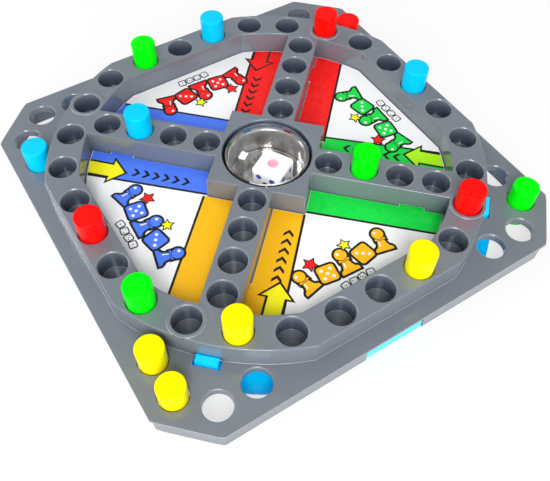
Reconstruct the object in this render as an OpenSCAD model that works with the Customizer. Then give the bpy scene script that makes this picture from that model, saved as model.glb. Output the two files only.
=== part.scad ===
// Pop-up dice board game: an octagonal board with a raised track of peg cups,
// a cross of four home rows, and a press-down dice popper in the middle.
// Millimetres. The board stands on z = 0, with its centre on the z axis.
// Sides of the board face 0, 90, 180 and 270 degrees; the home rows run to the corners.

/* [Board] */
// Half of the board's width across its flat sides
board_half = 90; // [88:1:112]
// Leg of the cut corner, along each side
corner_leg = 17.7; // [12:0.1:24]
// Height of the deck's top face above the table
deck_h = 10.6; // [10:0.1:16]
// Thickness of the deck
deck_t = 2; // [1.6:0.1:2.4]
// Height of the lip round the deck's edge
lip_h = 1.2; // [0.8:0.1:1.6]
// How far the skirt stands back from the lip
skirt_inset = 1.1; // [0.6:0.1:2]
// Thickness of the skirt
skirt_t = 1.8; // [1.2:0.1:2.4]
// Width of the gap in the skirt at the middle of each side
notch_w = 26; // [16:1:34]
// Height of that gap above the table
notch_h = 7.5; // [5:0.1:8]

/* [Track] */
// Distance from the board's side to the flat of the track
track_margin = 7.1; // [5:0.1:9]
// How much larger than that flat's distance the radius of the round corners is
track_bulge = 5.8; // [5:0.1:7]
// Wall between a cup and the side of the track
track_side = 1.3; // [1.2:0.1:2]
// Height of the track above the deck
track_h = 10.6; // [8:0.1:14]
// Thickness of the track's top
track_top_t = 2; // [1.4:0.1:2.6]
// Thickness of the upright walls of the track and the home rows
wall_t = 1.6; // [1.2:0.1:2]
// Radius along the upper edges of the track and the home rows
edge_r = 0.5; // [0.3:0.1:1]
// How much nearer to a side's middle cup its neighbours lie than an even spacing
flat_shift = 0.8; // [0:0.1:1.2]

/* [Home rows] */
// Wall between a cup and the side of its home row
row_side = 1.55; // [1.3:0.05:2.2]
// Distance from the centre block's side to a row's first cup
row_start = 5.6; // [5.6:0.1:6.5]
// Distance from a row's last cup to the middle of the track
row_end = 13.2; // [12.6:0.1:14]
// Length of the slot at the foot of a row's wall, for the card's tab
slot_l = 11; // [8:0.5:13]
// Height of that slot
slot_h = 2; // [1.5:0.1:3]
// Depth of that slot, from the wall's face
slot_deep = 1.2; // [0.8:0.1:1.2]

/* [Corner holes] */
// Distance of a corner's holes from the nearer side of the board
corner_edge = 10.7; // [9:0.1:11]
// Distance of the first hole from the next side
corner_first = 21.6; // [20:0.1:22]
// Distance between a corner's two holes on one side
corner_pitch = 15.2; // [13:0.1:16]
// Depth of the collar round each hole, from the deck's top
collar_h = 3.3; // [2.5:0.1:6]

/* [Pegs] */
// Diameter of a peg
peg_d = 10.5; // [8:0.1:10.7]
// Length of a peg
peg_l = 19.2; // [16:0.1:26]
// Gap between a peg and its cup, all round
peg_gap = 0.25; // [0.15:0.05:0.4]
// Depth of a cup below the track's top
cup_depth = 9.2; // [6:0.1:9.5]
// Thickness of a cup's wall and floor
cup_t = 1.2; // [0.9:0.1:1.4]
// Wall of a peg, which is hollow from below
peg_wall = 1.8; // [1.4:0.1:2.2]

/* [Popper] */
// Radius of the round opening for the dome
opening_r = 18.4; // [17.5:0.1:22]
// Wall of the centre block at the narrowest, from the opening to the block's side
block_wall = 1.5; // [1.2:0.1:3]
// Gap between the popper and the opening
popper_gap = 0.4; // [0.3:0.05:0.6]
// How far the popper goes down, until the tray's floor lies on the flattened spring
press = 2.2; // [1:0.1:2.4]
// Width of the tray's rolled rim
rim_w = 1.2; // [0.8:0.1:1.6]
// How far the tray's rim lies below the block's top
rim_drop = 2.9; // [2.4:0.1:4]
// Thickness of the tray
tray_t = 1; // [0.8:0.1:1.2]
// Height inside the dome above the die
hop_room = 5.8; // [5:0.1:7]
// Thickness of the dome
dome_t = 1; // [0.8:0.1:1.4]
// Thickness of the click spring
spring_t = 0.4; // [0.3:0.05:0.5]
// Width of the click spring
spring_w = 12; // [8:0.5:16]

/* [Die] */
// Width of the die
die_w = 13; // [11:0.1:15.6]
// Diameter of the large pip of the one
one_d = 4.7; // [3:0.1:5]
// Diameter of the other pips
pip_d = 2.2; // [1.5:0.1:2.4]
// Distance from the die's edge to the middle of the outer pips
pip_edge = 3.5; // [2.5:0.1:4]

/* [Base and cards] */
// Thickness of the base plate
base_t = 1.2; // [1:0.1:1.6]
// Gap between the base plate and what it fits into
base_gap = 0.3; // [0.2:0.05:0.5]
// Width of a snap hook
hook_w = 8.2; // [6:0.1:10]
// Thickness of a snap hook's arm
hook_t = 2.6; // [1.6:0.1:2.8]
// Thickness of the printed cards
card_t = 0.5; // [0.3:0.1:0.8]
// Gap between a card and the walls round it
card_gap = 0.4; // [0.2:0.1:0.8]

/* [Hidden] */
YELLOW = "gold";
BLUE = "deepskyblue";
RED = "red";
GREEN = "limegreen";
GREY = "slategray";
CYAN = "darkturquoise";
SIDES = [0, 90, 180, 270];
CORNERS = [45, 135, 225, 315];
ROW_CUPS = [0, 1, 2, 3];
SIDE_CUPS = [-3, -2, -1, 0, 1, 2, 3];
CORNER_HOLES = [-2, -1, 1, 2];
// Pieces of cutters stand this far out of what they cut
over = 1;
far = 300;

track_top = deck_h + track_h;
deck_under = deck_h - deck_t;
skirt_out = board_half - skirt_inset;
skirt_in = skirt_out - skirt_t;

// Cups: the bore has a lead-in, and the start cups a raised rim
cup_r = peg_d / 2 + peg_gap;
cup_floor = track_top - cup_depth;
cup_lead = 0.4;
rest_gap = 0.1;
start_cup = 3;
start_rim_h = 0.5;
start_rim_w = 1.5;

// Track: its middle line is flat up to where it meets the circle of the round corners
track_half = board_half - track_margin;
track_round = track_half + track_bulge;
track_w = 2 * (cup_r + track_side);
track_mid = track_half - track_w / 2;
round_mid = track_round - track_w / 2;
meet_angle = acos(track_mid / round_mid);
meet_run = round_mid * sin(meet_angle);
deg_per_mm = 180 / PI / round_mid;
cup_step = (meet_run + (45 - meet_angle) / deg_per_mm) / 3.5;

// Centre block and home rows
block_half = opening_r + block_wall;
row_w = 2 * (cup_r + row_side);
row_first = block_half + row_start;
row_pitch = (round_mid - row_end - row_first) / 3;
slot_at = row_first + 2.5 * row_pitch;

// Popper, from the outside in: its dome's flange is held down by the stop in the well
stop_drop = 1.6;
stop_lap = 2.4;
stop_z = deck_h - stop_drop;
dome_r = opening_r - popper_gap;
dome_drop = 1.2;
dome_edge = track_top - dome_drop;
flange_t = 1.2;
flange_under = stop_z - base_gap - flange_t;
flange_r = opening_r + stop_lap;
tray_gap = 0.2;
tray_r = dome_r - dome_t - tray_gap - rim_w;
tray_rim = track_top - rim_drop;
rim_in = 0.4;
bead_in = 0.6;
bead_r = 0.35;
boss_top = 2.6;
tray_floor = boss_top + spring_t + press + rest_gap + tray_t;
die_top = tray_floor + rest_gap + die_w;
dome_top = die_top + hop_room + dome_t;
dome_cap_h = dome_top - dome_edge;
dome_ball = (dome_r * dome_r + dome_cap_h * dome_cap_h) / (2 * dome_cap_h);

// The die lies off centre and turned, as it last came to rest
die_side_gap = 1.1;
die_out = tray_r - die_side_gap - die_w / sqrt(2);
die_way = 264.6;
die_turn = -60.4;

// Cores in the corners of the centre block, open below, with this much wall round them
core_wall = 1;
well_r = flange_r + popper_gap;
core_r = (block_half - core_wall - (well_r + core_wall) / sqrt(2)) / (1 + 1 / sqrt(2));
core_at = well_r + core_wall + core_r;

// Snap hooks and their windows, measured out along the corner's diagonal
hook_in = track_round + base_gap;
hook_nose = 1.6;
hook_h = 1.8;
window_side = 1;
window_room = 0.8;
window_out = hook_in + hook_t + window_room;
window_h = 2.8;

// Click spring, which is bowed up between two bosses of the base
boss_r = 3.2;
boss_x = flange_r + boss_r;
pilot_r = 1;
screw_l = 2.2;
spring_foot = 8;
spring_top = tray_floor - tray_t - rest_gap;
spring_rise = spring_top - boss_top - spring_t;
spring_span = boss_x - spring_foot / 2;
spring_ball = (spring_span * spring_span + spring_rise * spring_rise) / (2 * spring_rise);

// Ribs and pillars that stiffen the base plate and the deck
rib_t = 1.2;
rib_h = 2;
ring_room = 9;
rib_ring = boss_x + ring_room;
pillar_r = 4;
pillar_room = 13;
pillar_at = rib_ring + pillar_room;

// Where each peg stands: name, colour, kind of place, side or corner, which cup
PEGS = [
    ["peg_blue_1", BLUE, "track", 90, -1],
    ["peg_blue_2", BLUE, "track", 0, 0],
    ["peg_blue_3", BLUE, "row", 135, 2],
    ["peg_blue_4", BLUE, "corner", 135, 2],
    ["peg_green_1", GREEN, "track", 90, 1],
    ["peg_green_2", GREEN, "track", 180, 2],
    ["peg_green_3", GREEN, "row", 315, 1],
    ["peg_green_4", GREEN, "corner", 315, 1],
    ["peg_red_1", RED, "track", 0, 3],
    ["peg_red_2", RED, "track", 180, 0],
    ["peg_red_3", RED, "track", 270, 3],
    ["peg_red_4", RED, "corner", 45, -2],
    ["peg_yellow_1", YELLOW, "track", 270, 1],
    ["peg_yellow_2", YELLOW, "track", 270, -3],
    ["peg_yellow_3", YELLOW, "corner", 225, -2],
    ["peg_yellow_4", YELLOW, "corner", 225, -1]
];
CARDS = [
    ["card_right", 0, GREEN],
    ["card_rear", 90, RED],
    ["card_left", 180, BLUE],
    ["card_front", 270, YELLOW]
];

function turned(p, a) = [p[0] * cos(a) - p[1] * sin(a), p[0] * sin(a) + p[1] * cos(a)];

// Cups of the track, counted from the middle of a side: 1 is on the flat, 2 and 3 on the round
function track_xy(side, n) =
    abs(n) < 2
    ? turned([track_mid, n * (cup_step - flat_shift)], side)
    : turned([round_mid, 0],
        side + sign(n) * (meet_angle + (abs(n) * cup_step - meet_run) * deg_per_mm));

// Cups of a home row, counted outwards
function row_xy(corner, n) = turned([row_first + n * row_pitch, 0], corner);

// Holes of a corner: 1 is the nearer to the tip of the corner, 2 the further, on either side
function corner_xy(corner, n) =
    let (
        along = board_half - corner_first - (abs(n) - 1) * corner_pitch,
        out = board_half - corner_edge
    )
    turned(n > 0 ? [along, out] : [out, along], corner - 45);

function place_xy(p) =
    p[2] == "track" ? track_xy(p[3], p[4]) :
    p[2] == "row" ? row_xy(p[3], p[4]) :
    corner_xy(p[3], p[4]);

// A corner hole goes through the deck, and its peg stands on the table or the base plate
function place_z(p) =
    rest_gap + (p[2] != "corner" ? cup_floor : abs(p[4]) == 2 ? base_t : 0);

// The base plate's round corners pass under the middle of the further corner holes
base_round = norm(corner_xy(45, 2));
CUPS = concat(
    [for (s = SIDES) for (n = SIDE_CUPS) track_xy(s, n)],
    [for (c = CORNERS) for (n = ROW_CUPS) row_xy(c, n)]
);
START_CUPS = [for (s = SIDES) track_xy(s, start_cup)];
DECK_HOLES = [for (c = CORNERS) for (n = CORNER_HOLES) corner_xy(c, n)];

// --- outlines -------------------------------------------------------------

// Square with cut corners, drawn in by d on every side; its tips are rounded off
module octagon(d, leg = corner_leg) {
    tip_cut = 0.25;
    h = board_half - d;
    k = leg - d * (2 - sqrt(2));
    tip = norm([h, h - k]) - tip_cut;
    intersection() {
        polygon([
            [h, -h + k], [h, h - k], [h - k, h], [-h + k, h],
            [-h, h - k], [-h, -h + k], [-h + k, -h], [h - k, -h]
        ]);
        circle(tip, $fn = 180);
    }
}

// Square of the track's flats and circle of its round corners, drawn in by d
module track_outline(d) {
    intersection() {
        square(2 * (track_half - d), center = true);
        circle(track_round - d, $fn = 180);
    }
}

// --- solids with a rounded upper edge ---------------------------------------

// Half of an upright section, from the axis out to w, with its upper corner rounded
module edge_section(w, z0, z1, r) {
    translate([0, z0]) square([w, z1 - z0 - r]);
    translate([0, z0]) square([w - r, z1 - z0]);
    translate([w - r, z1 - r]) circle(r, $fn = 32);
}

// The same for a cutter: straight sides that flare over a rounded edge
module flare_section(w, z0, z1, r) {
    translate([0, z0]) square([w, z1 - z0 + over]);
    difference() {
        translate([w - over, z1 - r]) square([r + over, r + over]);
        translate([w + r, z1 - r]) circle(r, $fn = 32);
    }
}

module both_ways() {
    children();
    mirror([1, 0]) children();
}

// Bar along y with the given section
module bar(length) {
    rotate([90, 0, 0]) linear_extrude(length, center = true) both_ways() children();
}

// Track's plan, raised, with its upper edge rounded (or flared, for a cutter)
module track_solid(d, z0, z1, flared) {
    intersection() {
        rotate_extrude($fn = 180) track_section(track_round - d, z0, z1, flared);
        bar(far) track_section(track_half - d, z0, z1, flared);
        rotate(90) bar(far) track_section(track_half - d, z0, z1, flared);
    }
}

module track_section(w, z0, z1, flared) {
    if (flared) {
        flare_section(w, z0, z1, edge_r);
    } else {
        edge_section(w, z0, z1, edge_r);
    }
}

module row_solid(corner, w, z0, z1, from, to) {
    rotate(corner) translate([(from + to) / 2, 0]) rotate(90) bar(to - from)
        edge_section(w, z0, z1, edge_r);
}

module block_solid() {
    rotate(45) intersection() {
        bar(2 * block_half) edge_section(block_half, deck_under, track_top, edge_r);
        rotate(90) bar(2 * block_half) edge_section(block_half, deck_under, track_top, edge_r);
    }
}

// --- top shell --------------------------------------------------------------

// Bore of a cup or hole, with a small lead-in at its mouth
module cup_bore(z0, z1) {
    translate([0, 0, z0]) cylinder(h = z1 - z0 + over, r = cup_r, $fn = 64);
    translate([0, 0, z1 - cup_lead])
        cylinder(h = cup_lead + over, r1 = cup_r, r2 = cup_r + cup_lead + over, $fn = 64);
}

module cup_post(z0, z1) {
    translate([0, 0, z0]) cylinder(h = z1 - z0, r = cup_r + cup_t, $fn = 64);
}

module deck_and_skirt() {
    translate([0, 0, deck_h - lip_h]) linear_extrude(lip_h) octagon(0);
    translate([0, 0, deck_under]) linear_extrude(deck_t) octagon(skirt_inset);
    difference() {
        linear_extrude(deck_h - over) octagon(skirt_inset);
        translate([0, 0, -over]) linear_extrude(deck_h) octagon(skirt_inset + skirt_t);
        for (s = SIDES) rotate(s) skirt_notch();
    }
}

// Gap in the skirt with rounded upper corners, where the base plate's tab shows
module skirt_notch() {
    r = notch_h / 3;
    translate([skirt_in - over, 0, 0]) rotate([90, 0, 90]) linear_extrude(skirt_t + 2 * over) {
        translate([-notch_w / 2, -over]) square([notch_w, notch_h - r + over]);
        translate([-notch_w / 2 + r, -over]) square([notch_w - 2 * r, notch_h + over]);
        for (m = [-1, 1]) translate([m * (notch_w / 2 - r), notch_h - r]) circle(r, $fn = 48);
    }
}

// Ribs under the deck on both sides of each gap, from the track's wall out to the skirt
module deck_ribs() {
    rib_room = 8;
    rib_y = notch_w / 2 + rib_room;
    for (s = SIDES) for (m = [-1, 1]) rotate(s)
        translate([track_half - wall_t, m * rib_y - rib_t / 2, deck_under - rib_h])
            cube([skirt_in - track_half + 2 * wall_t, rib_t, rib_h + over]);
}

module track_and_rows() {
    difference() {
        track_solid(0, deck_under, track_top, false);
        track_solid(track_w, deck_h, track_top, true);
    }
    for (c = CORNERS) row_solid(c, row_w / 2, deck_under, track_top, block_half - over,
        round_mid + cup_r);
    block_solid();
}

// Hollow underside of the track
module track_hollow() {
    difference() {
        translate([0, 0, -over]) linear_extrude(track_top - track_top_t + over)
            track_outline(wall_t);
        translate([0, 0, -2 * over]) linear_extrude(track_top)
            track_outline(track_w - wall_t);
    }
}

// Hollow underside of a home row
module row_hollow(corner) {
    hollow_w = row_w - 2 * wall_t;
    start = block_half - wall_t;
    stop = track_round - wall_t;
    rotate(corner) translate([start, -hollow_w / 2, -over])
        cube([stop - start, hollow_w, track_top - track_top_t + over]);
}

// Slots for the cards' tabs, in both walls of a home row
module card_slots(corner) {
    for (y = [row_w / 2 - slot_deep, -row_w / 2 - over]) rotate(corner)
        translate([slot_at - slot_l / 2, y, deck_h]) cube([slot_l, slot_deep + over, slot_h]);
}

// Opening in the deck and the track's wall for a snap hook
module hook_window(corner) {
    w = hook_w + 2 * window_side;
    rotate(corner) {
        translate([hook_in - base_gap, -w / 2, deck_under - over])
            cube([window_out - hook_in + base_gap, w, deck_t + window_h + over]);
        translate([track_round - wall_t - over, -w / 2, deck_h])
            cube([wall_t + 2 * over, w, window_h]);
    }
}

// Round well of the popper: its lower edge is the stop that keeps the popper in
module popper_well() {
    rotate_extrude($fn = 120) {
        translate([0, -over]) square([well_r, stop_z + over]);
        flare_section(opening_r, -over, track_top, edge_r);
    }
}

module block_cores() {
    for (s = SIDES) rotate(s) translate([core_at, 0, -over])
        cylinder(h = track_top - track_top_t + over, r = core_r, $fn = 48);
}

module hollow_shell() {
    difference() {
        union() {
            deck_and_skirt();
            track_and_rows();
        }
        track_hollow();
        for (c = CORNERS) {
            row_hollow(c);
            hook_window(c);
        }
    }
    deck_ribs();
}

module top_shell() {
    color(GREY) difference() {
        union() {
            hollow_shell();
            for (p = CUPS) translate(p) cup_post(cup_floor - cup_t, track_top - over);
            for (p = START_CUPS) translate([p[0], p[1], track_top - over])
                cylinder(h = over + start_rim_h, r = cup_r + start_rim_w, $fn = 64);
            for (p = DECK_HOLES) translate(p) cup_post(deck_h - collar_h, deck_under + over);
        }
        for (s = SIDES) for (n = SIDE_CUPS) translate(track_xy(s, n))
            cup_bore(cup_floor, track_top + (n == start_cup ? start_rim_h : 0));
        for (c = CORNERS) for (n = ROW_CUPS) translate(row_xy(c, n))
            cup_bore(cup_floor, track_top);
        for (p = DECK_HOLES) translate(p) cup_bore(-over, deck_h);
        for (c = CORNERS) card_slots(c);
        popper_well();
        block_cores();
    }
}

// --- base plate -------------------------------------------------------------

module base_outline() {
    intersection() {
        square(2 * (skirt_in - base_gap), center = true);
        circle(base_round, $fn = 180);
    }
}

// Snap hook: an arm that comes up through its window, with a nose that catches on the
// wall's foot and a thicker foot of its own
module snap_hook(corner) {
    nose_in = hook_in - hook_nose;
    back = hook_in + hook_t;
    nose_z = deck_h + base_gap;
    nose_h = 0.6;
    foot = 1.5;
    rotate(corner) rotate([90, 0, 0]) linear_extrude(hook_w, center = true) polygon([
        [hook_in, 0], [hook_in, nose_z], [nose_in, nose_z], [nose_in, nose_z + nose_h],
        [hook_in, nose_z + hook_h], [back, nose_z + hook_h], [back, base_t + foot],
        [back + foot, base_t], [back + foot, 0]
    ]);
}

// Tab that fills the gap in the skirt
module side_tab(side) {
    tab_t = 2;
    tab_w = notch_w - 2 * base_gap;
    tab_h = notch_h - base_gap;
    tab_back = 0.4;
    r = notch_h / 3;
    rotate(side) translate([skirt_out - tab_back - tab_t, 0, 0]) rotate([90, 0, 90])
        linear_extrude(tab_t) {
            translate([-tab_w / 2, 0]) square([tab_w, tab_h - r]);
            translate([-tab_w / 2 + r, 0]) square([tab_w - 2 * r, tab_h]);
            for (m = [-1, 1]) translate([m * (tab_w / 2 - r), tab_h - r]) circle(r, $fn = 48);
        }
}

// Ring and spokes that stiffen the plate
module base_ribs() {
    spoke_room = 3;
    spoke_out = track_half - spoke_room;
    for (a = [0 : 45 : 315]) rotate(a) translate([rib_ring - rib_t, -rib_t / 2, 0])
        cube([spoke_out - rib_ring + rib_t, rib_t, base_t + rib_h]);
    difference() {
        cylinder(h = base_t + rib_h, r = rib_ring, $fn = 120);
        translate([0, 0, base_t]) cylinder(h = rib_h + over, r = rib_ring - rib_t, $fn = 120);
    }
}

module base_plate() {
    pilot_floor = 0.5;
    pillar_wall = 1.4;
    color(CYAN) difference() {
        union() {
            linear_extrude(base_t) base_outline();
            for (s = SIDES) side_tab(s);
            for (c = CORNERS) snap_hook(c);
            base_ribs();
            for (m = [-1, 1]) translate([m * boss_x, 0, 0])
                cylinder(h = boss_top, r = boss_r, $fn = 48);
            for (s = SIDES) rotate(s) translate([pillar_at, 0, 0])
                cylinder(h = deck_under - base_gap, r = pillar_r, $fn = 48);
        }
        for (m = [-1, 1]) translate([m * boss_x, 0, pilot_floor])
            cylinder(h = boss_top, r = pilot_r, $fn = 32);
        for (s = SIDES) rotate(s) translate([pillar_at, 0, base_t])
            cylinder(h = deck_h, r = pillar_r - pillar_wall, $fn = 48);
    }
}

// --- popper -----------------------------------------------------------------

// Clear dome: a low cap on a skirt, whose flange the well's lower edge holds in
module die_dome() {
    color([0.85, 0.9, 0.95, 0.4]) rotate_extrude($fn = 120) {
        intersection() {
            translate([0, dome_edge]) square([dome_r, dome_cap_h]);
            translate([0, dome_top - dome_ball]) difference() {
                circle(dome_ball, $fn = 180);
                circle(dome_ball - dome_t, $fn = 180);
            }
        }
        translate([dome_r - dome_t, flange_under]) square([dome_t, dome_edge - flange_under]);
        translate([dome_r - dome_t, flange_under])
            square([flange_r - dome_r + dome_t, flange_t]);
    }
}

// Plated tray: a cup with a rolled rim and a bead round its floor, and the flange that
// is fastened under the dome's
module die_tray() {
    rim_r = (rim_w + rim_in) / 2;
    color("silver") rotate_extrude($fn = 120) {
        translate([0, tray_floor - tray_t]) square([tray_r + tray_t, tray_t]);
        translate([tray_r, tray_floor - tray_t])
            square([tray_t, tray_rim - rim_r - tray_floor + tray_t]);
        translate([tray_r - rim_in + rim_r, tray_rim - rim_r]) circle(rim_r, $fn = 48);
        translate([tray_r, flange_under - flange_t])
            square([flange_r - tray_r, flange_t]);
        translate([tray_r - bead_in, tray_floor]) circle(bead_r, $fn = 24);
    }
}

// Bowed strip of spring steel with two flat feet
module click_spring() {
    hole_gap = 0.2;
    color("lightsteelblue") difference() {
        rotate([90, 0, 0]) linear_extrude(spring_w, center = true) {
            intersection() {
                translate([-spring_span, boss_top])
                    square([2 * spring_span, spring_rise + spring_t]);
                translate([0, spring_top - spring_ball - spring_t]) difference() {
                    circle(spring_ball + spring_t, $fn = 180);
                    circle(spring_ball, $fn = 180);
                }
            }
            for (m = [-1, 1]) translate([m * boss_x - spring_foot / 2, boss_top])
                square([spring_foot, spring_t]);
        }
        for (m = [-1, 1]) translate([m * boss_x, 0, boss_top - over])
            cylinder(h = spring_t + 2 * over, r = pilot_r + hole_gap, $fn = 32);
    }
}

// Two pan-head screws that hold the spring's feet on the base plate's bosses
module spring_screws() {
    head_h = 1.2;
    head_r = 2.2;
    color("dimgray") for (m = [-1, 1]) translate([m * boss_x, 0, boss_top + spring_t]) {
        cylinder(h = head_h, r = head_r, $fn = 48);
        translate([0, 0, -screw_l]) cylinder(h = screw_l, r = pilot_r, $fn = 32);
    }
}

// --- die --------------------------------------------------------------------

// Places of a face's pips, in steps from its centre
function pips(n) =
    n == 1 ? [[0, 0]] :
    n == 2 ? [[-1, -1], [1, 1]] :
    n == 3 ? [[-1, -1], [0, 0], [1, 1]] :
    n == 4 ? [[-1, -1], [1, -1], [-1, 1], [1, 1]] :
    n == 5 ? [[-1, -1], [1, -1], [0, 0], [-1, 1], [1, 1]] :
    [[-1, -1], [-1, 0], [-1, 1], [1, -1], [1, 0], [1, 1]];

// Shallow round dents of one face
module face_pips(n) {
    d = n == 1 ? one_d : pip_d;
    dent = 0.35;
    step = die_w / 2 - pip_edge;
    for (p = pips(n)) translate([p[0] * step, p[1] * step, die_w / 2 - dent])
        cylinder(h = dent + over, r = d / 2, $fn = 32);
}

// Cube with its edges and corners eased
module die_block() {
    edge_cut = 0.3;
    corner_cut = 1.4;
    intersection() {
        cube(die_w, center = true);
        sphere(die_w * sqrt(3) / 2 - corner_cut, $fn = 96);
        three_ways() cylinder(h = 2 * die_w, r = die_w / sqrt(2) - edge_cut, center = true,
            $fn = 96);
    }
}

// Common part of a child along x, y and z
module three_ways() {
    intersection() {
        children();
        rotate([90, 0, 0]) children();
        rotate([0, 90, 0]) children();
    }
}

module die() {
    place = turned([die_out, 0], die_way);
    color("white") translate([place[0], place[1], die_top - die_w / 2]) rotate(die_turn)
        difference() {
            die_block();
            face_pips(1);
            rotate([180, 0, 0]) face_pips(6);
            rotate([90, 0, 0]) face_pips(5);
            rotate([-90, 0, 0]) face_pips(2);
            rotate([0, 90, 0]) face_pips(4);
            rotate([0, -90, 0]) face_pips(3);
        }
}

// --- cards and pegs ---------------------------------------------------------

// Printed card of one side, with a tab on each of its two edges along the home rows
module card(side) {
    tab_l = slot_l - 2 * card_gap;
    tab_gap = 0.2;
    tab_in = row_w / 2 - slot_deep + tab_gap;
    tab_deep = slot_deep - tab_gap + card_gap + over;
    translate([0, 0, deck_h]) linear_extrude(card_t) {
        difference() {
            intersection() {
                track_outline(track_w + card_gap);
                rotate(side) polygon([[0, 0], [far, -far], [far, far]]);
            }
            for (c = [side - 45, side + 45]) rotate(c)
                translate([-over, -row_w / 2 - card_gap]) square([far, row_w + 2 * card_gap]);
            rotate(45) square(2 * (block_half + card_gap), center = true);
        }
        for (m = [-1, 1]) rotate(side - m * 45)
            translate([slot_at - tab_l / 2, m > 0 ? tab_in : -tab_in - tab_deep])
                square([tab_l, tab_deep]);
    }
}

// Moulded peg, hollow from below, with rounded edges
module peg(p) {
    top_r = 0.7;
    foot_r = 0.3;
    core_r = peg_d / 2 - peg_wall;
    translate([each place_xy(p), place_z(p)]) color(p[1]) rotate_extrude($fn = 96) difference() {
        union() {
            translate([0, foot_r]) square([peg_d / 2, peg_l - top_r - foot_r]);
            square([peg_d / 2 - foot_r, peg_l - top_r]);
            square([peg_d / 2 - top_r, peg_l]);
            translate([peg_d / 2 - top_r, peg_l - top_r]) circle(top_r, $fn = 32);
            translate([peg_d / 2 - foot_r, foot_r]) circle(foot_r, $fn = 32);
        }
        translate([0, -over]) square([core_r, peg_l - 2 * peg_wall + over]);
    }
}

top_shell();
base_plate();
die_dome();
die_tray();
click_spring();
spring_screws();
die();
for (c = CARDS) color(c[2]) card(c[1]);
for (p = PEGS) peg(p);
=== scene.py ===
import math

import bmesh
import bpy
from mathutils import Matrix, Vector


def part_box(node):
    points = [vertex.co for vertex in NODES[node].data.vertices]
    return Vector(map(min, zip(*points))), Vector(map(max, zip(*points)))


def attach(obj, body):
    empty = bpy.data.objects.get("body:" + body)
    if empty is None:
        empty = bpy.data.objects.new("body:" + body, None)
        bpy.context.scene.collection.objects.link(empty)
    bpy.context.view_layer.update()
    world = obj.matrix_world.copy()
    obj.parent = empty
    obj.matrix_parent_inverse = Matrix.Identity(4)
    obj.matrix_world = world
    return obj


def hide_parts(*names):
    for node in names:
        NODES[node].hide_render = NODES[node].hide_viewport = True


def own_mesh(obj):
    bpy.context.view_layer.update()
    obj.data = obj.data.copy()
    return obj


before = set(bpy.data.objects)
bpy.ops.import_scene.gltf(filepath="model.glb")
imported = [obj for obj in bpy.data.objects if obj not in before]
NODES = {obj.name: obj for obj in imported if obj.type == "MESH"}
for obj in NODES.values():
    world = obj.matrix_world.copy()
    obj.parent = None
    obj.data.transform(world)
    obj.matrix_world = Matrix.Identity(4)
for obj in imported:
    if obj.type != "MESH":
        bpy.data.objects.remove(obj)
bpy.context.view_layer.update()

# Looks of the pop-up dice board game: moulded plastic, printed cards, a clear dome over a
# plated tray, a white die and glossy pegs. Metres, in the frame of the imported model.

MM = 0.001
DIE_LOW, DIE_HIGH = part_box("die")
CARD_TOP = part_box("card_right")[1].z


# --- colours --------------------------------------------------------------------

def srgb(r, g, b):
    """Linear colour from 0-255 display values."""
    def linear(v):
        v /= 255
        return v / 12.92 if v <= 0.04045 else ((v + 0.055) / 1.055) ** 2.4
    return (linear(r), linear(g), linear(b), 1)


def scaled(colour, share):
    """A colour made darker or lighter, but no brighter than white."""
    return tuple(min(1, c * share) for c in colour[:3]) + (1,)


def paler(colour, share):
    """A colour brought nearer to white."""
    return tuple(c + (1 - c) * share for c in colour[:3]) + (1,)


WHITE = (1, 1, 1, 1)
SHELL_GREY = srgb(113, 120, 129)
SHELL_PAINTED_SHADE = srgb(64, 75, 97)
BASE_CYAN = srgb(0, 208, 255)
BASE_PAINTED_GLOW = srgb(0, 160, 255)
PLATING = (0.9, 0.885, 0.86, 1)
PLATING_STAIN = (0.27, 0.22, 0.195, 1)
PLATING_RIM = (0.1, 0.1, 0.105, 1)
SPRING_GREY = (0.5, 0.53, 0.58, 1)
SCREW_GREY = (0.6, 0.6, 0.6, 1)
DOME_TINT = (0.97, 0.985, 1, 1)
DOME_SHADOW = (0.95, 0.96, 0.97, 1)
CARD_WHITES = srgb(246, 247, 249), srgb(253, 253, 254)
PEG_COLOURS = {
    "blue": srgb(0, 200, 255),
    "green": srgb(0, 250, 10),
    "red": srgb(255, 14, 8),
    "yellow": srgb(255, 242, 0),
}
INK_COLOURS = {
    "black": srgb(14, 14, 18),
    "white": srgb(246, 247, 249),
    "orange": srgb(255, 190, 0),
    "yellow": srgb(255, 246, 0),
    "blue": srgb(76, 124, 248),
    "red": srgb(255, 16, 10),
    "green": srgb(0, 222, 70),
    "lime": srgb(180, 252, 12),
}
DIE_WHITE = srgb(246, 246, 244)
ONE_RED = srgb(240, 150, 168)
PIP_BLUE = srgb(14, 14, 150)
FLOOR_GREY = (0.9, 0.9, 0.9, 1)


# --- nodes of a material ----------------------------------------------------------

def new_material(name):
    mat = bpy.data.materials.new(name)
    mat.use_nodes = True
    return mat


def inside(mat):
    """A material's node tree and its main shader."""
    return mat.node_tree, mat.node_tree.nodes["Principled BSDF"]


def feed(tree, node, inputs):
    """Sets a node's inputs to numbers, colours or other nodes' outputs."""
    for key, value in inputs.items():
        if isinstance(value, bpy.types.NodeSocket):
            tree.links.new(value, node.inputs[key])
        else:
            node.inputs[key].default_value = value


def add(tree, kind, inputs=None, **settings):
    node = tree.nodes.new(kind)
    for key, value in settings.items():
        setattr(node, key, value)
    feed(tree, node, inputs or {})
    return node


def noise(tree, scale, detail=3, stretch=None):
    """Noise over the object's own metres; stretch scales its three axes."""
    place = add(tree, "ShaderNodeTexCoord").outputs["Object"]
    if stretch:
        mapping = add(tree, "ShaderNodeMapping", {"Vector": place, "Scale": stretch})
        place = mapping.outputs["Vector"]
    texture = add(tree, "ShaderNodeTexNoise", {"Vector": place, "Scale": scale, "Detail": detail})
    return texture.outputs["Fac"]


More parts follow.
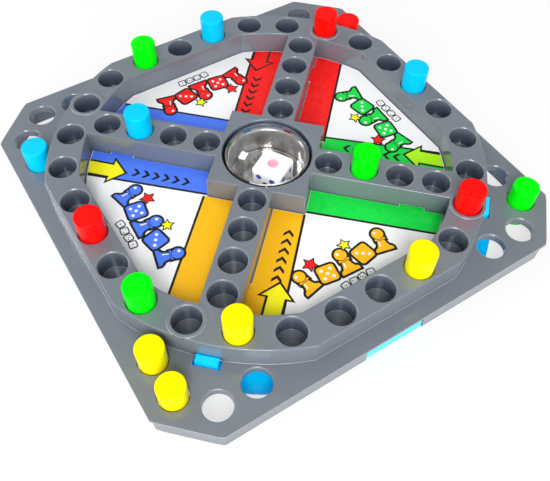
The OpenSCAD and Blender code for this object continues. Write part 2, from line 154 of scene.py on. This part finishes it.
def ramp(tree, value, span, to=(0, 1)):
    """Goes from to[0] to to[1] while value goes over span, and stays level beyond it."""
    node = add(tree, "ShaderNodeMapRange", {
        "Value": value, "From Min": span[0], "From Max": span[1], "To Min": to[0],
        "To Max": to[1]}, clamp=True)
    return node.outputs["Result"]


EVEN = (0.3, 0.7)       # span round a noise's middle
LOWER = (0.35, 0.75)    # span that leaves more of a noise at its low end


def patches(tree, scale, detail=3, span=EVEN, to=(0, 1), stretch=None):
    """Soft patches: a noise that goes from to[0] to to[1] over a span of its values."""
    return ramp(tree, noise(tree, scale, detail, stretch), span, to)


def mix_colour(tree, factor, a, b):
    """Colour a where factor is 0 and b where it is 1."""
    node = add(tree, "ShaderNodeMix", {"Factor": factor, 6: a, 7: b}, data_type="RGBA")
    return node.outputs[2]


def mix_shaders(tree, factor, a, b):
    """Makes the surface of a material shader a where factor is 0 and b where it is 1."""
    mix = add(tree, "ShaderNodeMixShader", {"Fac": factor, 1: a, 2: b})
    tree.links.new(mix.outputs["Shader"], tree.nodes["Material Output"].inputs["Surface"])


def bumps(tree, strength, distance, height, **more):
    """Surface direction with fine bumps of a height given by a noise."""
    node = add(tree, "ShaderNodeBump", {
        "Strength": strength, "Distance": distance, "Height": height, **more})
    return node.outputs["Normal"]


def eased_edges(tree, radius):
    """Surface direction with rounded-off edges, and a mask that is 1 on them and 0 on faces."""
    bevel = add(tree, "ShaderNodeBevel", {"Radius": radius}, samples=8).outputs["Normal"]
    plain = add(tree, "ShaderNodeNewGeometry").outputs["Normal"]
    dot = add(tree, "ShaderNodeVectorMath", {0: bevel, 1: plain}, operation="DOT_PRODUCT")
    return bevel, ramp(tree, dot.outputs["Value"], (0.995, 0.8))


def split(tree, vector):
    """X, Y and Z of a vector."""
    return add(tree, "ShaderNodeSeparateXYZ", {"Vector": vector}).outputs


# --- materials ----------------------------------------------------------------------

GRAIN_DEEP = 0.04 * MM   # heights of the bumps on moulded plastic, metal and card
WAVE_DEEP = 0.3 * MM
FIBRE_DEEP = 0.03 * MM
SHELL_EASE = 0.35 * MM   # radius of the shell's small edges
WALL_NEAR = 12 * MM      # how near other walls paint shade on the shell
RIM_FROM = 15.5 * MM     # where the tray's rolled rim turns dark
RIM_TO = RIM_FROM + 0.3 * MM


def moulded(name, colour, rough=0.3, grain=2600, bump=0.05, vary=0.06, ease=None, painted_edge_highlight=0.0):
    """Moulded plastic: faint colour drift, handled patches, fine grain, and eased edges with a
    painted highlight along them.
    """
    mat = new_material(name)
    tree, shader = inside(mat)
    drift = patches(tree, scale=45)
    body = mix_colour(tree, drift, scaled(colour, 1 - vary), scaled(colour, 1 + vary))
    rub = patches(tree, scale=90, detail=5, span=LOWER, to=(rough * 0.85, rough * 1.2))
    direction = {}
    if ease:
        direction["Normal"], edges = eased_edges(tree, ease)
        # painted highlight: the eased edges are made paler
        body = mix_colour(tree, edges, body, paler(colour, painted_edge_highlight))
    fine = bumps(tree, bump, GRAIN_DEEP, noise(tree, scale=grain, detail=2), **direction)
    feed(tree, shader, {"Base Color": body, "Roughness": rub, "Normal": fine})
    return mat


def shell_plastic():
    """Slate grey with painted shade: darker and bluer in its cups and corners, though less so
    where it faces up.
    """
    mat = moulded("shell_plastic", SHELL_GREY, rough=0.16, grain=2200, vary=0.03,
                  ease=SHELL_EASE, painted_edge_highlight=0.4)
    tree, shader = inside(mat)
    plain = shader.inputs["Base Color"].links[0].from_socket
    # painted shade: occlusion by nearby walls darkens the colour, and faces turned up keep more of
    # it, as if lit from above
    air = add(tree, "ShaderNodeAmbientOcclusion", {"Distance": WALL_NEAR}, samples=8)
    in_the_open = ramp(tree, air.outputs["AO"], (0.1, 0.55))
    normal = add(tree, "ShaderNodeNewGeometry").outputs["Normal"]
    facing_up = ramp(tree, split(tree, normal)["Z"], (0.5, 1), (0, 0.7))
    light = add(tree, "ShaderNodeMath", {0: in_the_open, 1: facing_up}, operation="ADD",
                use_clamp=True)
    body = mix_colour(tree, light.outputs[0], SHELL_PAINTED_SHADE, plain)
    feed(tree, shader, {"Base Color": body, "Specular IOR Level": 0.7})
    return mat


def base_plastic():
    """Cyan plastic with a painted glow: a weak emission stands in for light coming through it."""
    mat = moulded("base_plastic", BASE_CYAN, rough=0.25, bump=0.04)
    tree, shader = inside(mat)
    # painted glow: emission in place of light shining through the plastic
    feed(tree, shader, {"Emission Color": BASE_PAINTED_GLOW, "Emission Strength": 0.35})
    return mat


def peg_plastic(name, colour):
    mat = moulded(name, colour, grain=1800, bump=0.03, vary=0.02)
    tree, shader = inside(mat)
    feed(tree, shader, {"Specular IOR Level": 0.08})
    return mat


def painted_plastic(name, colour, rough):
    return moulded(name, colour, rough=rough, grain=1500, bump=0.02, vary=0.02)


def metal(name, colour, rough, wave, brushed=None):
    """Metal with duller patches; brushed scales the axes of its smears."""
    mat = new_material(name)
    tree, shader = inside(mat)
    tint = patches(tree, scale=160, detail=4)
    smear = patches(tree, scale=260, detail=5, span=LOWER, to=(rough * 0.6, rough * 1.7),
                    stretch=brushed)
    feed(tree, shader, {
        "Metallic": 1,
        "Base Color": mix_colour(tree, tint, scaled(colour, 0.86), colour),
        "Roughness": smear,
        "Normal": bumps(tree, wave, WAVE_DEEP, noise(tree, scale=190, detail=2))})
    return mat


def tray_plating():
    """Bright plating with brownish smears, and a dark rolled rim."""
    mat = metal("tray_plating", PLATING, rough=0.13, wave=0.5)
    tree, shader = inside(mat)
    plain = shader.inputs["Base Color"].links[0].from_socket
    smear = patches(tree, scale=150, span=(0.44, 0.6), to=(0, 0.85), stretch=(1, 1, 0.3))
    stained = mix_colour(tree, smear, plain, PLATING_STAIN)
    place = split(tree, add(tree, "ShaderNodeNewGeometry").outputs["Position"])
    flat = add(tree, "ShaderNodeCombineXYZ", {"X": place["X"], "Y": place["Y"]})
    radius = add(tree, "ShaderNodeVectorMath", {0: flat.outputs["Vector"]}, operation="LENGTH")
    rim = ramp(tree, radius.outputs["Value"], (RIM_FROM, RIM_TO))
    feed(tree, shader, {"Base Color": mix_colour(tree, rim, stained, PLATING_RIM)})
    return mat


def clear_plastic():
    """Polished clear styrene that lets the lamps through to the tray and the die."""
    mat = new_material("dome_clear")
    tree, shader = inside(mat)
    haze = patches(tree, scale=300, detail=5, span=(0.45, 0.8), to=(0, 0.035),
                   stretch=(1, 6, 1))
    feed(tree, shader, {"Base Color": DOME_TINT, "Transmission Weight": 1, "IOR": 1.56,
                        "Roughness": haze})
    through = add(tree, "ShaderNodeBsdfTransparent", {"Color": DOME_SHADOW})
    rays = add(tree, "ShaderNodeLightPath").outputs
    mix_shaders(tree, rays["Is Shadow Ray"], shader.outputs["BSDF"], through.outputs["BSDF"])
    return mat


def paper(name, colours, patch_scale, patch_detail, dullest, shine):
    """Printed or plain card: faint patches between two colours, and uneven gloss."""
    mat = new_material(name)
    tree, shader = inside(mat)
    feed(tree, shader, {
        "Base Color": mix_colour(tree, patches(tree, patch_scale, patch_detail), *colours),
        "Roughness": patches(tree, scale=70, detail=4, to=(0.3, dullest)),
        "Specular IOR Level": shine})
    return mat


def card_stock():
    mat = paper("printed_card", CARD_WHITES, patch_scale=900, patch_detail=6, dullest=0.42,
                shine=0.25)
    tree, shader = inside(mat)
    fibres = noise(tree, scale=1500)
    feed(tree, shader, {"Normal": bumps(tree, 0.04, FIBRE_DEEP, fibres)})
    return mat


def ink(name, colour):
    return paper(name, (colour, paler(colour, 0.02)), patch_scale=500, patch_detail=5,
                 dullest=0.44, shine=0.2)


FINISH = {
    "top_shell": shell_plastic(),
    "base_plate": base_plastic(),
    "die_dome": clear_plastic(),
    "die_tray": tray_plating(),
    "click_spring": metal("spring_steel", SPRING_GREY, rough=0.28, wave=0.05,
                          brushed=(1, 12, 1)),
    "spring_screws": metal("screw_steel", SCREW_GREY, rough=0.3, wave=0.05, brushed=(1, 5, 1)),
}
CARD = card_stock()
PEG = {name: peg_plastic("peg_" + name, colour) for name, colour in PEG_COLOURS.items()}
INK = {name: ink("ink_" + name, colour) for name, colour in INK_COLOURS.items()}
for node in NODES:
    if node.startswith("card_"):
        FINISH[node] = CARD
    if node.startswith("peg_"):
        FINISH[node] = PEG[node.split("_")[1]]
for node, finish in FINISH.items():
    NODES[node].data.materials.clear()
    NODES[node].data.materials.append(finish)


# --- making objects -------------------------------------------------------------------

def in_scene(obj):
    bpy.context.scene.collection.objects.link(obj)
    return obj


def mesh_object(name, mesh, materials):
    """Object of a bmesh, which is used up."""
    data = bpy.data.meshes.new(name)
    mesh.to_mesh(data)
    mesh.free()
    for material in materials:
        data.materials.append(material)
    return in_scene(bpy.data.objects.new(name, data))


# --- print on the cards ---------------------------------------------------------------
# Millimetres in the plane of a card. Along is the distance from the board's centre along a
# home row, and across is the distance from that row's middle.

STRIP_IN = 7.5          # the strip's edge at the foot of the row's wall, across
STRIP_FROM = 20.4       # its end at the centre block, along
STRIP_CUTS = 8          # straight pieces of its round end
PRINT_ROUND = 74.5      # radius of the printed area's round end
LINE_W = 1.0            # black line along the strip
TAB_FROM = 56.6         # ends of the card's tab in the row's wall, along
TAB_TO = 66.4
TAB_IN = 6.15           # its inner end, across
TAB_LAP = 0.1           # how far its ink reaches over the strip's
ARROW_HALF = 3.1        # half widths of the arrow's shaft and head
ARROW_HEAD = 5.6
ARROW_LONG = 5.8        # length of the head
ARROW_LAP = 1.0         # how far the shaft reaches into it
OUTLINE = 0.95          # black outline of arrows and motifs
THIN_OUTLINE = 0.45     # and that of stars and small dice
MARKS_FROM = 29.0       # row of chevrons: first, step and number
MARKS_STEP = 4.3
MARK_COUNT = 6
MARK_HALF = 2.0         # a chevron's half width, across
MARK_THICK = 1.56       # thickness of its strokes, along
INK_BASE = 0.012        # the first shape's height above the card, and each further one's
INK_STEP = 0.0015
ROUND = 40              # sides of a circle, and of a small one
SMALL_ROUND = 20


def turned(x, y, degrees):
    c, s = math.cos(math.radians(degrees)), math.sin(math.radians(degrees))
    return (x * c - y * s, x * s + y * c)


def circle(x, y, r, count=ROUND):
    return [(x + r * math.cos(2 * math.pi * k / count), y + r * math.sin(2 * math.pi * k / count))
            for k in range(count)]


def area(points):
    return sum(a[0] * b[1] - b[0] * a[1] for a, b in zip(points, points[1:] + points[:1])) / 2


def anticlockwise(points):
    return points if area(points) > 0 else points[::-1]


def grown(points, d):
    """Outline moved out by d on every side, with long corners held back to twice d."""
    points = anticlockwise(points)
    out = []
    for k, p in enumerate(points):
        before, after = Vector(points[k - 1]), Vector(points[(k + 1) % len(points)])
        e, f = (Vector(p) - before).normalized(), (after - Vector(p)).normalized()
        n = Vector((e.y + f.y, -e.x - f.x)).normalized()
        out.append(tuple(Vector(p) + n * d / max(0.5, n.dot(Vector((e.y, -e.x))))))
    return out


class Print:
    """Flat inked shapes of one card: thin closed prisms, each a hair above the one before."""

    def __init__(self, side):
        self.side = side
        self.mesh = bmesh.new()
        self.inks = []
        self.count = 0

    def shape(self, points, colour, turn=None):
        """points are millimetres; turn is the direction that their x axis runs in."""
        turn = self.side if turn is None else turn
        if colour not in self.inks:
            self.inks.append(colour)
        top_z = CARD_TOP + (INK_BASE + self.count * INK_STEP) * MM
        self.count += 1
        flat = [turned(x, y, turn) for x, y in anticlockwise(points)]
        low = [self.mesh.verts.new((x * MM, y * MM, CARD_TOP)) for x, y in flat]
        high = [self.mesh.verts.new((x * MM, y * MM, top_z)) for x, y in flat]
        faces = [self.mesh.faces.new(high), self.mesh.faces.new(low[::-1])]
        for k in range(len(flat)):
            m = (k + 1) % len(flat)
            faces.append(self.mesh.faces.new((low[k], low[m], high[m], high[k])))
        for face in faces:
            face.material_index = self.inks.index(colour)

    def finish(self, name):
        bmesh.ops.triangulate(self.mesh, faces=[f for f in self.mesh.faces if len(f.verts) > 4])
        bmesh.ops.recalc_face_normals(self.mesh, faces=self.mesh.faces)
        obj = mesh_object(name, self.mesh, [INK[colour] for colour in self.inks])
        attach(obj, "board")


def on_round(across):
    """Distance along the row at which the printed area's round end is reached."""
    return math.sqrt(PRINT_ROUND ** 2 - across ** 2)


def strip_points(inner, outer, hand):
    """Strip on one side of a home row. Its far edge runs from inner at the centre block to
    outer at the round end, both across."""
    end = [STRIP_IN + (outer - STRIP_IN) * k / STRIP_CUTS for k in range(STRIP_CUTS + 1)]
    points = [(STRIP_FROM, STRIP_IN)] + [(on_round(a), a) for a in end] + [(STRIP_FROM, inner)]
    return [(x, y * hand) for x, y in points]


def strip(card, turn, hand, edge, colour):
    """Coloured strip with a black line along its far edge, and the inked tab beside it."""
    for paint_in, shift in (("black", LINE_W / 2), (colour, -LINE_W / 2)):
        card.shape(strip_points(edge[0] + shift, edge[1] + shift, hand), paint_in, turn)
    near, far = TAB_IN * hand, (STRIP_IN + TAB_LAP) * hand
    tab = [(TAB_FROM, near), (TAB_TO, near), (TAB_TO, far), (TAB_FROM, far)]
    card.shape(tab, colour, turn)


def arrow(card, turn, across, tip, colour):
    """Arrow that points at the board's centre and starts at the printed area's round end."""
    neck = tip + ARROW_LONG
    head = [(tip, across), (neck, across - ARROW_HEAD), (neck, across + ARROW_HEAD)]
    end = neck - ARROW_LAP
    for paint_in, grow in (("black", OUTLINE), (colour, 0)):
        low, high = across - ARROW_HALF - grow, across + ARROW_HALF + grow
        shaft = [(end, low), (on_round(low), low), (on_round(high), high), (end, high)]
        card.shape(shaft, paint_in, turn)
        card.shape(grown(head, grow), paint_in, turn)


def chevrons(card, turn, across):
    """Row of marks, each of two strokes that meet in a point towards the board's centre."""
    for k in range(MARK_COUNT):
        tip = MARKS_FROM + k * MARKS_STEP
        end = tip + MARK_HALF
        for side in (across + MARK_HALF, across - MARK_HALF):
            stroke = [(tip, across), (tip + MARK_THICK, across), (end + MARK_THICK, side),
                      (end, side)]
            card.shape(stroke, "black", turn)


# --- motifs of the cards ----------------------------------------------------------------
# They are drawn upright, u to the right and v up, as the player on the card's side sees them.
# A motif's place is its u and its distance from the board's centre.

PAWN_FOOT = [(-3.7, 0), (3.7, 0), (3.7, 0.9), (3.1, 1.7), (-3.1, 1.7), (-3.7, 0.9)]
PAWN_BODY = [(-2.7, 1.6), (2.7, 1.6), (1.9, 3.0), (1.35, 5.6), (-1.35, 5.6), (-1.9, 3.0)]
PAWN_COLLAR = [(-2.1, 5.2), (2.1, 5.2), (2.1, 6.1), (-2.1, 6.1)]
PAWN_HEAD = circle(0, 8.2, 2.35)
PAWN_GLINTS = [         # white, on its head and body
    circle(-0.9, 8.9, 0.62, SMALL_ROUND),
    [(-1.5, 2.4), (-0.9, 2.4), (-0.55, 4.9), (-0.95, 4.9)],
]
PAWN_LINE = 0.3         # black line round collar and head
FLAT_DIE_HALF = 3.6     # half sides of the dice, and where the row of small ones lies
SMALL_DIE_HALF = 1.35
SMALL_DICE_AT = 64.4
FLAT_DIE_ROUND = 0.32   # corner radius, and distance and radius of the spots, in half sides
FLAT_DIE_STEP = 0.5
FLAT_DIE_SPOT = 0.19
CORNER_CUTS = 4         # straight pieces of a round corner
STAR_POINTS = 5
STAR_WAIST = 0.5        # radius of its inner corners, as a share of that of its points
SPOTS = {
    1: [(0, 0)],
    2: [(-1, 1), (1, -1)],
    3: [(-1, 1), (0, 0), (1, -1)],
    5: [(-1, -1), (-1, 1), (0, 0), (1, -1), (1, 1)],
}


def upright(points, place, tilt=0, size=1.0):
    """From upright millimetres to the card's own plane, whose x axis runs outwards."""
    out = []
    for u, v in points:
        a, b = turned(u * size, v * size, tilt)
        out.append((place[1] - b, place[0] + a))
    return out


def pawn(card, place, tilt, colour, size=1.0):
    """Generic playing-piece figure with a lit side."""
    foot, body, collar, head = (upright(points, place, tilt, size) for points in (
        PAWN_FOOT, PAWN_BODY, PAWN_COLLAR, PAWN_HEAD))
    for part in (foot, body, collar, head):
        card.shape(grown(part, OUTLINE), "black")
    for part in (foot, body):
        card.shape(part, colour)
    for part in (collar, head):
        card.shape(grown(part, PAWN_LINE), "black")
        card.shape(part, colour)
    for points in PAWN_GLINTS:
        card.shape(upright(points, place, tilt, size), "white")


def rounded_square(half, r):
    points = []
    for k, (a, b) in enumerate(((1, 1), (-1, 1), (-1, -1), (1, -1))):
        for step in range(CORNER_CUTS + 1):
            t = math.radians(90 * (k + step / CORNER_CUTS))
            points.append((a * (half - r) + r * math.cos(t), b * (half - r) + r * math.sin(t)))
    return points


def flat_die(card, place, tilt, number, colour, spot, half=FLAT_DIE_HALF, outline=OUTLINE):
    """One face of a die in the card's colour, or in white."""
    square = upright(rounded_square(half, half * FLAT_DIE_ROUND), place, tilt)
    card.shape(grown(square, outline), "black")
    card.shape(square, colour)
    step = half * FLAT_DIE_STEP
    for u, v in SPOTS[number]:
        at = circle(u * step, v * step, half * FLAT_DIE_SPOT, SMALL_ROUND)
        card.shape(upright(at, place, tilt), spot)


def star(card, place, tilt, colour, size):
    points = []
    for k in range(2 * STAR_POINTS):
        t = math.radians(90 + 180 / STAR_POINTS * k)
        r = size * (1 if k % 2 == 0 else STAR_WAIST)
        points.append((r * math.cos(t), r * math.sin(t)))
    at = upright(points, place, tilt)
    card.shape(grown(at, THIN_OUTLINE), "black")
    card.shape(at, colour)


def motifs(card, colour):
    """A bouncing row of pawns and dice, a row of small dice below it and two stars."""
    pawn(card, (-16.4, 60.0), tilt=12, colour=colour)
    flat_die(card, (-8.2, 56.3), tilt=-9, number=5, colour=colour, spot="white")
    pawn(card, (0.2, 60.6), tilt=-3, colour=colour, size=1.05)
    flat_die(card, (8.6, 56.0), tilt=11, number=3, colour=colour, spot="white")
    pawn(card, (16.8, 59.6), tilt=-13, colour=colour)
    for u, tilt, number in ((-5.4, 8, 1), (-1.6, -6, 2), (2.2, 7, 3), (6.0, -8, 1)):
        flat_die(card, (u, SMALL_DICE_AT), tilt, number, "white", "black", SMALL_DIE_HALF,
                 THIN_OUTLINE)
    star(card, (-11.6, 49.6), tilt=14, colour="red", size=2.7)
    star(card, (4.6, 49.0), tilt=-10, colour="yellow", size=2.3)


def print_card(name, side, own, other):
    """A card's print. own is what lies by the home row clockwise of the card, and the colour of
    its motifs. other is the strip by the home row anticlockwise of it."""
    card = Print(side)
    own_row, other_row = side - 45, side + 45
    strip(card, own_row, 1, own["edge"], own["ink"])
    strip(card, other_row, -1, other["edge"], other["ink"])
    chevrons(card, own_row, own["marks"])
    arrow(card, own_row, own["arrow"], own["tip"], own["arrow_ink"])
    motifs(card, own["motif"])
    card.finish(name)


# In the photograph each card's print lies a little differently, so each has its own places
print_card("print_front", 270,
           {"ink": "orange", "edge": (20.2, 21.6), "arrow": 17.6, "tip": 54.2, "marks": 16.0,
            "arrow_ink": "yellow", "motif": "orange"},
           {"ink": "green", "edge": (18.9, 17.8)})
print_card("print_right", 0,
           {"ink": "green", "edge": (23.1, 25.4), "arrow": 21.0, "tip": 55.8, "marks": 18.8,
            "arrow_ink": "lime", "motif": "green"},
           {"ink": "red", "edge": (20.5, 19.4)})
print_card("print_rear", 90,
           {"ink": "red", "edge": (21.0, 23.0), "arrow": 18.9, "tip": 58.8, "marks": 17.2,
            "arrow_ink": "red", "motif": "red"},
           {"ink": "blue", "edge": (23.3, 22.6)})
print_card("print_left", 180,
           {"ink": "blue", "edge": (19.3, 20.5), "arrow": 16.2, "tip": 57.0, "marks": 15.0,
            "arrow_ink": "yellow", "motif": "blue"},
           {"ink": "orange", "edge": (21.5, 21.1)})


# --- die --------------------------------------------------------------------------------

DIE_TURN = -60.4        # degrees round its upright axis
DIE_EASE = 1.5          # radius of its edges, and further sizes in millimetres
DIE_CELLS = 72          # mesh cells along a face
DIE_WELD = 0.002
PIP_INSET = 3.5         # from a side of the die to the middle of the next pip
PIP_DEEP = 0.45
PIP_RADIUS = 1.2
ONE_RADIUS = 2.35       # the one's single pip is bigger
DIE_PAINTS = [
    painted_plastic("die_plastic", DIE_WHITE, rough=0.2),
    painted_plastic("pip_red", ONE_RED, rough=0.3),
    painted_plastic("pip_blue", PIP_BLUE, rough=0.3),
]
ON_BODY, ON_ONE, ON_PIP = range(3)      # places in that list
PIPS = {
    1: [(0, 0)],
    2: [(-1, -1), (1, 1)],
    3: [(-1, -1), (0, 0), (1, 1)],
    4: [(-1, -1), (1, -1), (-1, 1), (1, 1)],
    5: [(-1, -1), (1, -1), (0, 0), (-1, 1), (1, 1)],
    6: [(-1, -1), (-1, 0), (-1, 1), (1, -1), (1, 0), (1, 1)],
}
# For each number, the turn that brings the die's top face there, in degrees about an axis
FACE_TURNS = {1: (0, "X"), 6: (180, "X"), 5: (90, "X"), 2: (-90, "X"), 4: (90, "Y"), 3: (-90, "Y")}


def pip_depth(x, y, number, half):
    """How deep a pip lies below the face here, and 0 beside the pips."""
    radius = ONE_RADIUS if number == 1 else PIP_RADIUS
    step = half - PIP_INSET
    away = min(math.hypot(x - u * step, y - v * step) for u, v in PIPS[number]) / radius
    return PIP_DEEP * math.sqrt(1 - away ** 2) if away < 1 else 0


def die_face(mesh, number, turn, half):
    """One face with its pips, made as the top one and turned to its place."""
    def at(k):
        return -half + 2 * half * k / DIE_CELLS

    def corner(x, y):
        flat = Vector((x, y, half))
        inner = Vector([max(DIE_EASE - half, min(half - DIE_EASE, c)) for c in flat])
        point = inner + (flat - inner).normalized() * DIE_EASE
        point.z -= pip_depth(x, y, number, half)
        return mesh.verts.new(turn @ point * MM)

    count = DIE_CELLS
    grid = [[corner(at(i), at(j)) for j in range(count + 1)] for i in range(count + 1)]
    for i in range(count):
        for j in range(count):
            face = mesh.faces.new((grid[i][j], grid[i + 1][j], grid[i + 1][j + 1],
                                   grid[i][j + 1]))
            if pip_depth(at(i + 0.5), at(j + 0.5), number, half) > 0:
                face.material_index = ON_ONE if number == 1 else ON_PIP
            else:
                face.material_index = ON_BODY
            face.smooth = True


def make_die():
    """Rounded cube with dished, painted pips, where the frame's die lies."""
    half = (DIE_HIGH.z - DIE_LOW.z) / 2 / MM
    middle = (DIE_LOW + DIE_HIGH) / 2
    mesh = bmesh.new()
    for number, (angle, axis) in FACE_TURNS.items():
        die_face(mesh, number, Matrix.Rotation(math.radians(angle), 3, axis), half)
    bmesh.ops.remove_doubles(mesh, verts=mesh.verts, dist=DIE_WELD * MM)
    mesh.transform(Matrix.Translation(middle) @ Matrix.Rotation(math.radians(DIE_TURN), 4, "Z"))
    obj = mesh_object("cast_die", mesh, DIE_PAINTS)
    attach(obj, "die")
    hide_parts("die")


make_die()


# --- click spring -------------------------------------------------------------------------


def make_spring():
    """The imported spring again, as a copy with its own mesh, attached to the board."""
    packed = NODES["click_spring"]
    obj = in_scene(bpy.data.objects.new("bowed_spring", packed.data.copy()))
    obj.matrix_world = packed.matrix_world
    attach(obj, "board")
    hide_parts("click_spring")
    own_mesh(obj)


make_spring()


# --- floor and light ------------------------------------------------------------------------

FLOOR_SIZE = 3.0
FLOOR_DROP = 0.15 * MM      # the floor lies just clear of the game's underside
FLOOR_GLOW = 0.7            # share of even white in what is seen of the floor
LAMPS = [                   # name, place, width and height, watts; all aim at the board's middle
    ("key", (-0.25, 0.64, 0.74), (0.2, 0.2), 1.6),
    ("front_fill", (-0.5, -0.74, 0.4), (0.8, 0.5), 4.5),
    ("upper_fill", (-0.37, -0.57, 0.73), (0.32, 0.32), 4.8),
]
SKY_SPAN = (0.05, 0.8)      # the world's light changes from near the horizon to high up
SKY_LEVELS = (0.95, 0.46)


def floor_white():
    """Pale floor that looks evenly white to the camera, in mirrors and through the dome."""
    mat = new_material("floor_white")
    tree = mat.node_tree
    diffuse = add(tree, "ShaderNodeBsdfDiffuse", {"Color": FLOOR_GREY})
    glow = add(tree, "ShaderNodeEmission", {"Color": WHITE, "Strength": 1})
    rays = add(tree, "ShaderNodeLightPath").outputs
    seen = rays["Is Camera Ray"]
    for ray in ("Is Glossy Ray", "Is Transmission Ray"):
        either = add(tree, "ShaderNodeMath", {0: seen, 1: rays[ray]}, operation="MAXIMUM")
        seen = either.outputs[0]
    share = add(tree, "ShaderNodeMath", {0: seen, 1: FLOOR_GLOW}, operation="MULTIPLY")
    mix_shaders(tree, share.outputs[0], diffuse.outputs["BSDF"], glow.outputs["Emission"])
    return mat


def floor():
    bpy.ops.mesh.primitive_plane_add(size=FLOOR_SIZE, location=(0, 0, -FLOOR_DROP))
    obj = bpy.context.object
    obj.name = "floor"
    obj.data.materials.append(floor_white())


def lamp(name, place, size, power):
    data = bpy.data.lights.new(name, "AREA")
    data.shape = "RECTANGLE"
    data.size, data.size_y = size
    data.energy = power
    obj = in_scene(bpy.data.objects.new(name, data))
    obj.location = place
    obj.rotation_euler = (-Vector(place)).to_track_quat("-Z", "Y").to_euler()


def sky():
    """Even white light from all round, weaker from above."""
    world = bpy.data.worlds.new("studio")
    bpy.context.scene.world = world
    world.use_nodes = True
    tree = world.node_tree
    up = split(tree, add(tree, "ShaderNodeTexCoord").outputs["Generated"])["Z"]
    level = ramp(tree, up, SKY_SPAN, SKY_LEVELS)
    feed(tree, tree.nodes["Background"], {"Color": WHITE, "Strength": level})


floor()
for values in LAMPS:
    lamp(*values)
sky()


# --- camera -----------------------------------------------------------------------------------
# It was fitted to the board's outline and holes in the photograph

FOCAL_PX = 670.564
IMAGE_W = 550
SENSOR_MM = 36
CAMERA_MM = (-98.51, -158.03, 223.93)
CAMERA_TURNS = (144.972, 0.647, 32.238)


def camera():
    data = bpy.data.cameras.new("camera")
    data.sensor_fit = "HORIZONTAL"
    data.sensor_width = SENSOR_MM
    data.lens = FOCAL_PX * SENSOR_MM / IMAGE_W
    data.clip_start = 10 * MM
    x, y, z = (Matrix.Rotation(math.radians(a), 3, axis) for a, axis in zip(CAMERA_TURNS, "XYZ"))
    rows = x @ y @ z
    columns = Matrix((rows[0], -rows[1], -rows[2])).transposed()
    obj = in_scene(bpy.data.objects.new("camera", data))
    obj.matrix_world = Matrix.Translation(Vector(CAMERA_MM) * MM) @ columns.to_4x4()
    bpy.context.scene.camera = obj


camera()
bpy.context.scene.view_settings.view_transform = "Standard"
